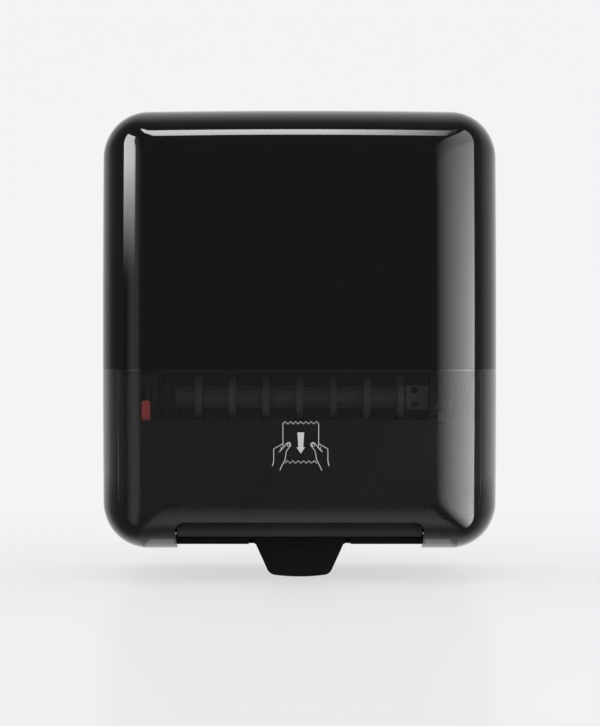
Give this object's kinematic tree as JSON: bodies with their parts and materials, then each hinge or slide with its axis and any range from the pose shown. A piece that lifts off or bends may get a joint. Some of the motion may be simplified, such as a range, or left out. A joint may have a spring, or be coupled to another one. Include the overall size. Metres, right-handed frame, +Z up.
{
  "type": "roll towel dispenser",
  "caption": "Wall dispenser for paper towel rolls: a rounded gloss cover with a smoked window swings down over a sprung roll holder, a feed drum with pinch roller and knife, and a chute",
  "frame": {"origin": "on the wall plane, at the centre of the wall screw pattern", "axes": "+X to the right seen from the front, +Y towards the wall, +Z up"},
  "size_m": [0.337, 0.203, 0.3978],
  "materials": {
    "gloss_black": "gloss",
    "smoke": "gloss",
    "matt_black": "matt",
    "grey_plastic": "satin",
    "red_plastic": "satin",
    "pale_plastic": "satin",
    "grip_rubber": "matt",
    "steel": "brushed",
    "chrome": "polished"
  },
  "bodies": {
    "housing": {"back_plate": "matt_black", "hinge_pins": "steel", "chassis_left": "matt_black", "chassis_right": "matt_black", "chassis_screws": "steel", "drum_bush_left": "pale_plastic", "drum_bush_right": "pale_plastic", "knife_shaft": "steel", "knife_bracket": "steel", "bracket_screws": "steel", "assist_pin": "steel", "assist_spring": "steel", "pinch_spring": "steel", "lever_bezel": "matt_black", "drum_guard": "matt_black", "guard_screws": "steel", "paper_chute": "matt_black", "chute_screws": "steel", "arm_spring_left": "steel", "arm_spring_right": "steel", "arm_pins": "steel"},
    "cover": {"cover_upper": "gloss_black", "cover_window": "smoke", "lock_bush": "chrome"},
    "lock": {"lock_barrel": "chrome", "latch_hook": "steel", "latch_screw": "steel"},
    "drum": {"drum_shell": "grey_plastic", "grip_bands": "grip_rubber", "drum_end_left": "grey_plastic", "drum_end_right": "grey_plastic", "hand_wheel": "grey_plastic", "wheel_screw": "steel", "assist_cam": "pale_plastic"},
    "knife": {"knife_carrier": "grey_plastic", "knife_blade": "steel", "blade_screws": "steel"},
    "assist_arm": {"assist_lever": "grey_plastic"},
    "cam_roller": {"assist_roller": "pale_plastic"},
    "pinch_arm": {"pinch_frame": "matt_black", "pinch_cap": "grey_plastic", "cap_screws": "steel", "release_lever": "red_plastic"},
    "nip_roller": {"pinch_roller": "grey_plastic"},
    "left_arm": {"roll_arm_left": "matt_black"},
    "right_arm": {"roll_arm_right": "matt_black"},
    "left_hub": {"roll_hub_left": "grey_plastic", "hub_clip_left": "pale_plastic"},
    "right_hub": {"roll_hub_right": "grey_plastic", "hub_clip_right": "pale_plastic"}
  },
  "joints": [
    {"name": "cover_hinge", "type": "hinge", "parent": "housing", "child": "cover", "pos_m": [0, -0.03, -0.179], "axis": [1, 0, 0], "range_deg": [0, 100]},
    {"name": "lock_turn", "type": "hinge", "parent": "cover", "child": "lock", "pos_m": [0, -0.075, 0.173], "axis": [0, 0, 1], "range_deg": [0, 90]},
    {"name": "drum_spin", "type": "hinge", "parent": "housing", "child": "drum", "pos_m": [0, -0.105, -0.115], "axis": [1, 0, 0], "continuous": true},
    {"name": "knife_turn", "type": "hinge", "parent": "housing", "child": "knife", "pos_m": [0, -0.1096, -0.11886], "axis": [1, 0, 0], "continuous": true},
    {"name": "pinch_lift", "type": "hinge", "parent": "housing", "child": "pinch_arm", "pos_m": [0, -0.05, -0.037], "axis": [-1, 0, 0], "range_deg": [0, 6], "stiffness_Nm_per_rad": 2, "springref_deg": -8.59, "deforming": ["pinch_spring"]},
    {"name": "nip_spin", "type": "hinge", "parent": "pinch_arm", "child": "nip_roller", "pos_m": [0, -0.12126, -0.05829], "axis": [1, 0, 0], "continuous": true},
    {"name": "assist_swing", "type": "hinge", "parent": "housing", "child": "assist_arm", "pos_m": [0.129, -0.05, -0.069], "axis": [1, 0, 0], "range_deg": [0, 14], "deforming": ["assist_spring"]},
    {"name": "cam_roller_spin", "type": "hinge", "parent": "assist_arm", "child": "cam_roller", "pos_m": [0.124, -0.0902, -0.07838], "axis": [1, 0, 0], "continuous": true},
    {"name": "left_arm_swing", "type": "hinge", "parent": "housing", "child": "left_arm", "pos_m": [-0.111, -0.014, 0.076], "axis": [0, 0, -1], "range_deg": [0, 12], "stiffness_Nm_per_rad": 1.5},
    {"name": "right_arm_swing", "type": "hinge", "parent": "housing", "child": "right_arm", "pos_m": [0.111, -0.014, 0.076], "axis": [0, 0, 1], "range_deg": [0, 12], "stiffness_Nm_per_rad": 1.5},
    {"name": "left_hub_spin", "type": "hinge", "parent": "left_arm", "child": "left_hub", "pos_m": [-0.105, -0.103, 0.076], "axis": [1, 0, 0], "continuous": true},
    {"name": "right_hub_spin", "type": "hinge", "parent": "right_arm", "child": "right_hub", "pos_m": [0.105, -0.103, 0.076], "axis": [1, 0, 0], "continuous": true}
  ],
  "couplings": [
    {"joint": "knife_turn", "follows": "drum_spin", "ratio": 1},
    {"joint": "nip_spin", "follows": "drum_spin", "ratio": -2.1902}
  ]
}
